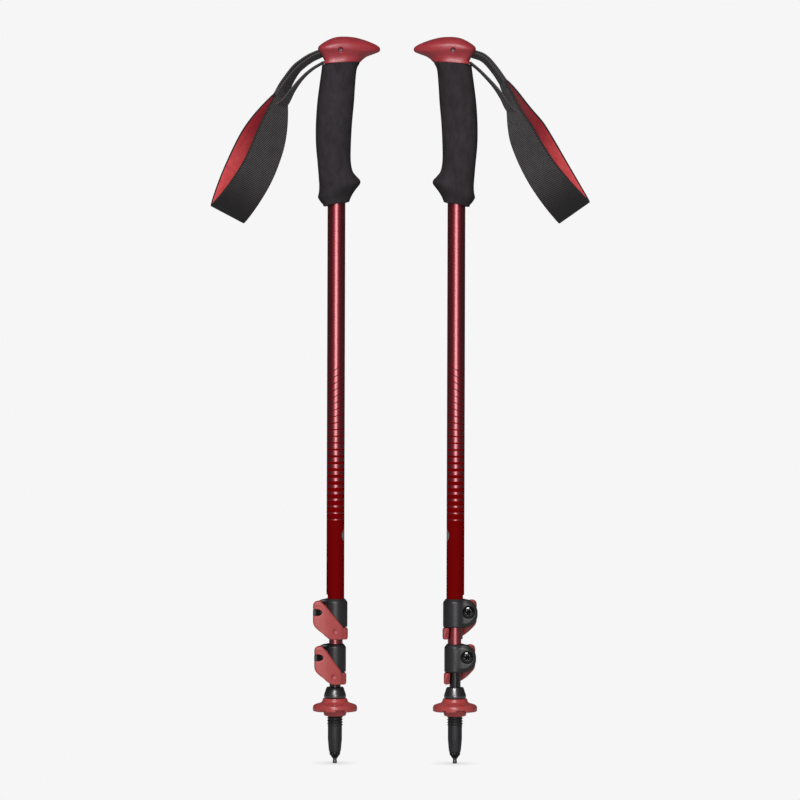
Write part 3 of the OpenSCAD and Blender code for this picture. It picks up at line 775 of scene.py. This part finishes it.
class Paint:
    """A node material. Values may be numbers, colours or sockets of other nodes."""

    def __init__(self, name, base, rough, metal=0.0, **sockets):
        self.mat = bpy.data.materials.new(name)
        self.mat.use_nodes = True
        self.tree = self.mat.node_tree
        self.shader = self.tree.nodes["Principled BSDF"]
        self.mat.diffuse_color = (*base, 1)
        self.set(Base_Color=(*base, 1), Roughness=rough, Metallic=metal, **sockets)
        self.coords = self.tree.nodes.new("ShaderNodeTexCoord")

    def put(self, node, key, value):
        if isinstance(value, bpy.types.NodeSocket):
            self.tree.links.new(value, node.inputs[key])
        else:
            node.inputs[key].default_value = value

    def set(self, **sockets):
        """Sets the shader's own sockets; an underscore stands for a space."""
        for key, value in sockets.items():
            self.put(self.shader, key.replace("_", " "), value)

    def node(self, kind, out=0, props=None, **inputs):
        """A new node's output. Its inputs go by name, or by number as i0, i1 and so on."""
        n = self.tree.nodes.new("ShaderNode" + kind)
        for k, v in (props or {}).items():
            setattr(n, k, v)
        for k, v in inputs.items():
            self.put(n, int(k[1:]) if k[0] == "i" and k[1:].isdigit() else k.replace("_", " "), v)
        return n.outputs[out]

    def math(self, op, a, b=0.0, c=0.0):
        return self.node("Math", props={"operation": op}, i0=a, i1=b, i2=c)

    def times(self, a, b):
        return self.math("MULTIPLY", a, b)

    def ramp(self, value, a, b, lo=0.0, hi=1.0, smooth=False):
        """lo to hi while the value goes from a to b, and level beyond them."""
        props = {"interpolation_type": "SMOOTHSTEP" if smooth else "LINEAR"}
        return self.node("MapRange", props=props, i0=value, i1=a, i2=b, i3=lo, i4=hi)

    def wave(self, x, pitch):
        """A triangle wave: 0 at every pitch of x, and 1 halfway between."""
        phase = self.math("FRACT", self.math("DIVIDE", x, pitch))
        return self.math("SUBTRACT", 1.0, self.math("ABSOLUTE", self.math("MULTIPLY_ADD", phase, 2.0, -1.0)))

    def mix(self, fac, a, b):
        """Between two colours, each an (r, g, b) or a socket."""
        a, b = (c if isinstance(c, bpy.types.NodeSocket) else (*c, 1.0) for c in (a, b))
        return self.node("Mix", out=2, props={"data_type": "RGBA"}, i0=fac, i6=a, i7=b)

    def noise(self, scale, detail=2.0, rough=0.5, stretch=None):
        vec = self.coords.outputs["Object"]
        if stretch:
            vec = self.node("Mapping", Vector=vec, Scale=(1, 1, stretch))
        return self.node("TexNoise", Vector=vec, Scale=scale, Detail=detail, Roughness=rough)

    def bump(self, height, distance, strength):
        self.set(Normal=self.node("Bump", Height=height, Distance=distance, Strength=strength))

    def xyz(self, source="Object"):
        n = self.tree.nodes.new("ShaderNodeSeparateXYZ")
        self.put(n, 0, self.coords.outputs[source])
        return n.outputs[0], n.outputs[1], n.outputs[2]


def red_plastic(name, low, high, rough):
    """Satin moulded plastic with a fine spark-eroded grain and faint handling marks."""
    p = Paint(name, high, rough, Specular_IOR_Level=0.6)
    cloud = p.noise(90, 3)
    grain = p.noise(2600)
    marks = p.noise(700, 4, 0.7, 0.25)
    worn = p.ramp(marks, 0.35, 0.75, rough - 0.05, rough + 0.08)
    p.set(
        Base_Color=p.mix(p.ramp(cloud, 0.3, 0.7), low, high),
        Roughness=p.math("ADD", worn, p.ramp(grain, 0.3, 0.7, -0.02, 0.03)),
    )
    p.bump(p.math("MULTIPLY_ADD", marks, 0.25, grain), 0.00006, 0.35)
    return p.mat


def black_plastic():
    """Glass-filled nylon: near black, satin, with a fine grain."""
    p = Paint("black_plastic", (0.045, 0.042, 0.046), 0.4)
    grain = p.noise(2200, 3, 0.6)
    flow = p.noise(160, 3, 0.6, 0.35)
    p.set(
        Base_Color=p.mix(p.ramp(flow, 0.3, 0.7), (0.017, 0.0155, 0.0175), (0.025, 0.023, 0.0255)),
        Roughness=p.ramp(grain, 0.3, 0.75, 0.34, 0.46),
    )
    p.bump(grain, 0.00008, 0.5)
    return p.mat


def tip_plastic():
    """The tip's harder, drier plastic, scuffed along its length."""
    p = Paint("tip_plastic", (0.05, 0.047, 0.053), 0.5)
    grain = p.noise(1800, 3, 0.6)
    scuff = p.noise(420, 5, 0.75, 0.12)
    p.set(
        Base_Color=p.mix(p.ramp(scuff, 0.45, 0.75), (0.014, 0.0125, 0.015), (0.030, 0.0275, 0.031)),
        Roughness=p.ramp(scuff, 0.35, 0.7, 0.42, 0.6),
    )
    p.bump(p.math("ADD", grain, scuff), 0.00008, 0.45)
    return p.mat


def foam_skin():
    """Closed-cell foam: matte, finely pitted, slightly mottled."""
    p = Paint("foam", (0.035, 0.030, 0.034), 0.92, Specular_IOR_Level=0.18)
    cells = p.node("TexVoronoi", Vector=p.coords.outputs["Object"], Scale=1500.0)
    cloud = p.noise(170, 5, 0.62, 0.45)
    fine = p.noise(3200)
    tone = p.math("ADD", p.ramp(cloud, 0.3, 0.72, 0, 0.75), p.ramp(fine, 0.3, 0.75, 0, 0.25))
    p.set(Base_Color=p.mix(tone, (0.019, 0.0155, 0.018), (0.042, 0.036, 0.040)))
    pits = p.math("MULTIPLY_ADD", fine, 0.6, cells)
    p.bump(p.math("MULTIPLY_ADD", cloud, 1.2, pits), 0.00016, 0.6)
    return p.mat


def twill():
    """Twill weave: slanted cords with a fine thread across them, and painted shade that darkens it towards
    the fold.
    """
    base = (0.06, 0.053, 0.056)
    p = Paint("twill", base, 0.8, Specular_IOR_Level=0.3, Sheen_Weight=0.15, Sheen_Roughness=0.5)
    u, v, _ = p.xyz("UV")
    cos, sin = 0.84, 0.54  # of the cords' slant
    slant = p.math("ADD", p.times(u, cos), p.times(v, sin))
    across = p.math("SUBTRACT", p.times(u, sin), p.times(v, cos))
    cord = p.wave(p.math("ADD", slant, p.times(p.noise(260), 0.0004)), 0.0018)
    thread = p.wave(across, 0.00085)
    high = p.times(p.ramp(cord, 0.2, 0.8, smooth=True), p.ramp(thread, 0.0, 0.5, 0.93, 1.0, True))
    high = p.times(high, p.ramp(p.noise(130, 4, 0.6), 0.25, 0.7, 0.65, 1.0))
    # Painted shade: the weave is darkened towards the fold in the middle of the band.
    high = p.times(high, p.ramp(p.math("ABSOLUTE", v), 0.006, 0.055, 0.12, 1.0, True))
    p.set(Base_Color=p.mix(high, (0.005, 0.004, 0.0045), (0.118, 0.105, 0.108)))
    p.bump(high, 0.0003, 0.8)
    return p.mat


def webbing():
    """Flat webbing: fine ribs across it, under zigzag floats."""
    p = Paint("webbing", (0.035, 0.03, 0.032), 0.75, Specular_IOR_Level=0.35, Sheen_Weight=0.1)
    u, v, _ = p.xyz("UV")
    rib = p.ramp(p.wave(v, 0.0011), 0.1, 0.8, smooth=True)
    zigzag = p.math("ADD", v, p.times(p.wave(u, 0.0042), 0.0017))
    floats = p.ramp(p.wave(zigzag, 0.0022), 0.35, 0.8, smooth=True)
    high = p.math("MULTIPLY_ADD", floats, 0.55, p.times(rib, 0.45))
    high = p.times(high, p.ramp(p.noise(900, 3), 0.2, 0.7, 0.6, 1.0))
    p.set(Base_Color=p.mix(high, (0.010, 0.008, 0.009), (0.135, 0.118, 0.120)))
    p.bump(high, 0.00025, 0.8)
    return p.mat


def binding():
    """The black edging of the band, with a line of small stitches."""
    p = Paint("binding", (0.02, 0.017, 0.018), 0.8, Specular_IOR_Level=0.3)
    _, v, _ = p.xyz("UV")
    stitch = p.ramp(p.wave(v, 0.0016), 0.1, 0.7, smooth=True)
    stitch = p.times(stitch, p.ramp(p.noise(1500), 0.2, 0.8, 0.5, 1.0))
    p.set(Base_Color=p.mix(stitch, (0.010, 0.008, 0.009), (0.04, 0.034, 0.036)))
    p.bump(stitch, 0.0002, 0.7)
    return p.mat


def lining():
    """Brushed red lining with a short nap, with painted shade where the two layers close up and painted light
    where the loop is open.
    """
    base = (0.42, 0.03, 0.045)
    p = Paint("lining", base, 0.9, Specular_IOR_Level=0.2, Sheen_Weight=0.35, Sheen_Roughness=0.4)
    nap = p.noise(1700, 4, 0.7)
    cloud = p.times(p.ramp(p.noise(240, 3, 0.6), 0.3, 0.7), 0.4)
    tone = p.math("MULTIPLY_ADD", p.ramp(nap, 0.25, 0.75), 0.6, cloud)
    _, v, _ = p.xyz("UV")
    # Painted shade and light: darker where the layers close up, lighter where the loop opens.
    shade_where_closed = p.ramp(p.math("ABSOLUTE", v), 0.045, 0.092, smooth=True)
    dark = p.mix(shade_where_closed, (0.48, 0.034, 0.042), (0.25, 0.005, 0.014))
    light = p.mix(shade_where_closed, (0.78, 0.120, 0.126), (0.44, 0.022, 0.036))
    p.set(Base_Color=p.mix(tone, dark, light))
    p.bump(nap, 0.0003, 0.55)
    return p.mat


COAT = 0.7


def anodised(name):
    """Red anodised tube, glossy under a clear coat: its paint, its colour and its roughness."""
    p = Paint(name, (0.42, 0.03, 0.05), 0.3, 1.0, Coat_Roughness=0.28, Coat_IOR=2.1)
    draw = p.ramp(p.noise(900, 3, 0.6, 0.02), 0.3, 0.7)
    gloss = p.mix(draw, (0.31, 0.012, 0.026), (0.35, 0.016, 0.032))
    sheen = p.ramp(draw, 0, 1, 0.39, 0.45)
    p.set(Coat_Weight=COAT, Base_Color=gloss, Roughness=sheen)
    return p, gloss, sheen


def printed_shaft():
    """The anodised tube with matte bands that close up towards the clamp, and a plain grey disc."""
    pitch, low, level, high = 0.006, 0.216, 0.290, 0.356
    disc_z, disc_r = 0.205, 0.006
    p, gloss, sheen = anodised("red_shaft_printed")
    x, y, z = p.xyz()
    # The bands slant more and more above a certain height.
    slope = p.ramp(z, 0.286, 0.345, 0.0, 0.62, True)
    height = p.math("SUBTRACT", z, p.times(slope, x))
    off = p.math("SUBTRACT", 1.0, p.wave(height, pitch))
    gap = p.ramp(height, low + 0.0005, level, 0.12, 0.79)
    gap = p.math("ADD", gap, p.ramp(height, level, 0.322, 0.0, 0.08))
    band = p.ramp(p.math("SUBTRACT", off, gap), -0.03, 0.03, 1.0, 0.0, True)
    band = p.math("MAXIMUM", band, p.ramp(height, high, high + 0.0003))
    band = p.times(band, p.ramp(height, low, low + 0.0003))
    printed = p.math("SUBTRACT", 1.0, band)
    speck = p.noise(2400, 3, 0.6)
    matte = p.mix(p.ramp(speck, 0.3, 0.7), (0.145, 0.0006, 0.001), (0.175, 0.0010, 0.0018))
    arc = p.times(p.math("ARCTAN2", p.math("ABSOLUTE", y), x), UPPER_R * MM)
    up = p.math("SUBTRACT", z, disc_z)
    far = p.math("SQRT", p.math("ADD", p.times(arc, arc), p.times(up, up)))
    disc = p.ramp(far, disc_r - 0.0001, disc_r + 0.0001, 1.0, 0.0)
    p.set(
        Base_Color=p.mix(disc, p.mix(band, matte, gloss), (0.19, 0.18, 0.185)),
        Metallic=p.times(band, p.math("SUBTRACT", 1.0, disc)),
        Coat_Weight=p.times(band, COAT),
        Specular_IOR_Level=p.math("MULTIPLY_ADD", band, 0.48, 0.02),
        Roughness=p.math("MULTIPLY_ADD", printed, 0.26, sheen),
    )
    p.bump(p.math("ADD", printed, p.times(speck, 0.08)), 0.00002, 0.4)
    return p.mat


def metal(name, base, rough, coat=0.0, brushed=0.02, bump=0.35, **more):
    """Steel, or with a coat a polished black: drawn lines along Z and small roughness changes."""
    p = Paint(name, base, rough, 1.0 if coat == 0 else 0.0, Coat_Weight=coat, **more)
    draw = p.noise(1400, 3, 0.6, brushed)
    both = p.math("ADD", draw, p.noise(2500, 3, 0.6))
    dark, light = ([c * k for c in base] for k in (0.86, 1.12))
    p.set(
        Base_Color=p.mix(p.ramp(draw, 0.3, 0.7), dark, light),
        Roughness=p.ramp(both, 0.7, 1.3, max(0.05, rough - 0.06), rough + 0.08),
    )
    p.bump(both, 0.00002, bump)
    return p.mat


MAT = {
    "pommel_red": red_plastic("pommel_red", (0.335, 0.029, 0.039), (0.38, 0.039, 0.049), 0.4),
    "lever_red": red_plastic("lever_red", (0.43, 0.064, 0.064), (0.485, 0.08, 0.079), 0.52),
    "basket_red": red_plastic("basket_red", (0.42, 0.055, 0.055), (0.47, 0.068, 0.067), 0.27),
    "black_plastic": black_plastic(),
    "tip_plastic": tip_plastic(),
    "foam": foam_skin(),
    "twill": twill(),
    "webbing": webbing(),
    "binding": binding(),
    "lining": lining(),
    "red_shaft": anodised("red_shaft")[0].mat,
    "red_shaft_printed": printed_shaft(),
    "black_shaft": metal("black_shaft", (0.006, 0.006, 0.007), 0.2, 0.4, bump=0.1),
    "gloss_plastic": metal(
        "gloss_plastic", (0.008, 0.007, 0.008), 0.5, 1.0, bump=0.02, Coat_Roughness=0.24, Coat_IOR=2.0
    ),
    "black_steel": metal("black_steel", (0.004, 0.004, 0.0045), 0.1, 0.6, 0.3),
    "blackened": metal("blackened", (0.003, 0.003, 0.003), 0.6, 0.02, 0.3, Specular_IOR_Level=0.2),
    "dark_steel": metal("dark_steel", (0.035, 0.033, 0.035), 0.34, 0.0, 0.2),
    "steel": metal("steel", (0.085, 0.10, 0.105), 0.5),
    "carbide": metal("carbide", (0.15, 0.145, 0.15), 0.4, 0.0, 0.4),
}


# ---------------------------------------------------------------- putting it together


def piece(side, name, mesh, materials, nodes):
    """An object made of a mesh, and the CAD nodes that it replaces."""
    obj = bpy.data.objects.new(f"{side}_{name}", mesh)
    if not mesh.materials:
        for m in materials:
            mesh.materials.append(MAT[m])
    scene.collection.objects.link(obj)
    if nodes:
        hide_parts(*(f"{side}_{n}" for n in nodes))
    return obj


def put(side, name, mesh, body, slot, material, *nodes, z=0.0):
    """Places one rigid piece on one pole; z lifts a mesh written about a clamp's underside."""
    obj = piece(side, name, mesh, [material], nodes)
    x, spin = SIDES[side]
    obj.location = (x * MM, 0, z * MM)
    obj.rotation_euler = (0, 0, spin)
    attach(obj, f"{side}_{body}")
    return obj


UPPER, MIDDLE, LOWER = "grip_and_upper_shaft", "middle", "lower"
COLLAR = [(5.0, 58.6), (9.6, 58.6), (9.95, 59.2), (9.95, 61.2), (7.8, 67.7), (7.3, 68.4), (5.0, 68.4)]
POINT = [
    (0, 1.1), (1.0, 0.5), (1.35, 0), (1.75, 0), (1.9, 0.35), (1.9, 2.2), (1.7, 2.5), (1.7, 3.2),
    (1.9, 3.6), (1.9, 14.0), (0, 14.0),
]
UPPER_TUBE = shaft("upper_tube", UPPER_R, UPPER_CLAMP_Z + 0.4, 626, 151.6)
MIDDLE_TUBE = shaft("middle_tube", MIDDLE_R, LOWER_CLAMP_Z + 0.4, 594, 111.8)
LOWER_TUBE = shaft("lower_tube", LOWER_R, 16.2, 576)
TIP_COLLAR = lathe("collar", bevel(COLLAR, 0.5))
TIP_POINT = lathe("point", bevel(POINT, 0.12), 64)

# Rigid pieces: name, mesh, body that it rides, slot, material, CAD nodes that it replaces.
SINGLES = [
    ("pommel_cap", pommel("pommel"), UPPER, "red_plastic", "pommel_red", "pommel"),
    ("grip_foam", foam("foam"), UPPER, "foam", "foam", "foam_grip"),
    ("upper_tube", UPPER_TUBE, UPPER, "red_shaft", "red_shaft_printed", "upper_shaft"),
    ("middle_tube", MIDDLE_TUBE, MIDDLE, "red_shaft", "red_shaft", "middle_shaft"),
    ("lower_tube", LOWER_TUBE, LOWER, "black_shaft", "black_shaft", "lower_shaft"),
    ("collar", TIP_COLLAR, LOWER, "black_plastic", "gloss_plastic", "tip_collar"),
    ("tip_sleeve", tip_body("tip"), LOWER, "black_plastic", "tip_plastic", "tip_body"),
    ("ferrule", ferrule("ferrule"), LOWER, "black_steel", "dark_steel", "tip_ferrule"),
    ("point", TIP_POINT, LOWER, "carbide", "carbide", "carbide_tip"),
    ("trail_basket", basket("basket"), "basket_ring", "red_plastic", "basket_red", "basket"),
]


def clamp(label, body, r, r_in):
    """The pieces of one clamp on a shaft of radius r: what rides the shaft, the lever and the screw."""
    arm, screw = label + "_lever", label + "_screw"
    plastic, steel = "black_plastic", "black_steel"
    ring, cam = clamp_body(label + "_body", r), lever(label + "_lever", r, r_in)
    head, shank = clamp_screw(label + "_head", r), screw_shank(label + "_shank", r)
    cross = barrel(label + "_barrel", r)
    return [
        (label + "_clamp", ring, body, plastic, plastic, label + "_clamp_body"),
        (label + "_lever_arm", cam, arm, "red_plastic", "lever_red", label + "_clamp_lever"),
        (label + "_screw_head", head, screw, steel, steel, label + "_clamp_screw"),
        (label + "_screw_shank", shank, screw, steel, "blackened"),
        (label + "_cross_barrel", cross, body, steel, "blackened", label + "_clamp_barrel"),
    ]


CLAMPS = [
    (UPPER_CLAMP_Z, clamp("upper", UPPER, UPPER_R, MIDDLE_R + 1.15)),
    (LOWER_CLAMP_Z, clamp("lower", MIDDLE, MIDDLE_R, LOWER_R + 1.4)),
]
# CAD pieces that stay as they are, most of them hidden, and their materials.
KEPT = {
    "strap_pin": "steel",
    "strap_wedge": "black_plastic",
    "grip_core": "black_plastic",
    "middle_bushing": "black_plastic",
    "lower_bushing": "black_plastic",
    "upper_clamp_plate": "blackened",
    "lower_clamp_plate": "blackened",
}


def hang_strap(side):
    """The strap's pieces: the band and its lining ride the swinging strap; the strands and the tail are
    attached to no body.
    """
    cloth, red, flat = wrist_band(side)
    low, top = strands(side)
    cord = "webbing"
    band = piece(side, "band", cloth, ["twill", "binding"], ["wrist_band"])
    inner = piece(side, "band_inside", red, ["lining"], ["band_lining"])
    strand_low = piece(side, "strand_low", low, [cord], ["strap_webbing"])
    strand_top = piece(side, "strand_top", top, [cord], [])
    end = piece(side, "strand_tail", tail(side), [cord], ["strap_tail"])
    for part in (band, inner):
        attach(part, f"{side}_strap")
    for part in (strand_low, strand_top, end):
        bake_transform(part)


for side in SIDES:
    placed = {name: put(side, name, *rest) for name, *rest in SINGLES}
    for z, rows in CLAMPS:
        for row in rows:
            put(side, *row, z=z)
    for node, material in KEPT.items():
        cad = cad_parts[f"{side}_{node}"]
        cad.data.materials.clear()
        cad.data.materials.append(MAT[material])
    hang_strap(side)


# ---------------------------------------------------------------- floor, light, camera


BACKDROP = 0.922
AMBIENT = 0.06


def floor():
    """A pale disc under the tips that glows like the backdrop, with a painted contact shadow that darkens it
    close to them.
    """
    n, shadow, dimmed = 64, 0.022, 0.35
    rim = circle(1600, 0, [2 * math.pi * k / n for k in range(n)])
    mesh = make_mesh("floor", [(0, 0, 0)] + rim, [(0, 1 + k, 1 + (k + 1) % n) for k in range(n)])
    mat = bpy.data.materials.new("pale_floor")
    mat.use_nodes = True
    t = mat.node_tree
    t.nodes.clear()
    kinds = ("OutputMaterial", "Emission", "AmbientOcclusion", "MapRange", "LightPath", "MapRange")
    out, glow, near, curve, path, level = (t.nodes.new("ShaderNode" + kind) for kind in kinds)
    near.inputs["Distance"].default_value = shadow
    near.samples = 16
    curve.inputs[3].default_value, curve.inputs[4].default_value = 0.1, BACKDROP
    level.inputs[3].default_value, level.inputs[4].default_value = dimmed, 1.0
    # The ambient occlusion paints a contact shadow into the glow.
    t.links.new(near.outputs["AO"], curve.inputs[0])
    t.links.new(path.outputs["Is Camera Ray"], level.inputs[0])
    t.links.new(level.outputs[0], glow.inputs["Strength"])
    t.links.new(curve.outputs[0], glow.inputs["Color"])
    t.links.new(glow.outputs[0], out.inputs["Surface"])
    mesh.materials.append(mat)
    obj = bpy.data.objects.new("floor", mesh)
    obj.location = (0, 0, -0.0002)
    scene.collection.objects.link(obj)


def studio():
    """A world that the camera sees as the backdrop, and that lights the poles only a little."""
    world = bpy.data.worlds.new("studio")
    world.use_nodes = True
    t = world.node_tree
    t.nodes.clear()
    kinds = ("OutputWorld", "Background", "Background", "LightPath", "MixShader")
    out, seen, lit, path, choose = (t.nodes.new("ShaderNode" + kind) for kind in kinds)
    for node, strength in ((seen, BACKDROP), (lit, AMBIENT)):
        node.inputs[0].default_value = (1, 1, 1, 1)
        node.inputs[1].default_value = strength
    t.links.new(path.outputs["Is Camera Ray"], choose.inputs[0])
    t.links.new(lit.outputs[0], choose.inputs[1])
    t.links.new(seen.outputs[0], choose.inputs[2])
    t.links.new(choose.outputs[0], out.inputs[0])
    scene.world = world


def softbox(name, place, aim, size, power):
    """A rectangular light at a place, in metres, aimed at a point."""
    data = bpy.data.lights.new(name, "AREA")
    data.shape = "RECTANGLE"
    data.size, data.size_y = size
    data.energy = power
    obj = bpy.data.objects.new(name, data)
    obj.location = place
    away = obj.location - type(obj.location)(aim)
    obj.rotation_euler = away.to_track_quat("Z", "Y").to_euler()
    scene.collection.objects.link(obj)
    return obj


def aim_camera():
    """A long lens straight in front, level with the middle of the poles."""
    camera = bpy.data.objects.new("camera", bpy.data.cameras.new("camera"))
    camera.data.sensor_width = 36
    camera.data.lens = 160
    camera.location = (0.0037, -3.2, 0.3267)
    camera.rotation_euler = (math.pi / 2, math.radians(-0.17), 0)
    camera.data.clip_start, camera.data.clip_end = 0.1, 50
    scene.collection.objects.link(camera)
    scene.camera = camera
    scene.view_settings.view_transform = "Standard"


floor()
studio()
softbox("front", (0.0, -2.7, 0.44), (0, 0, 0.3), (1.2, 1.1), 24.5)
softbox("key", (-0.3, -2.2, 1.95), (0, 0, 0.3), (1.1, 0.6), 50)
back = softbox("back", (0.0, 2.4, 1.9), (0, 0, 0.35), (1.2, 0.6), 24)
back.visible_glossy = False
aim_camera()
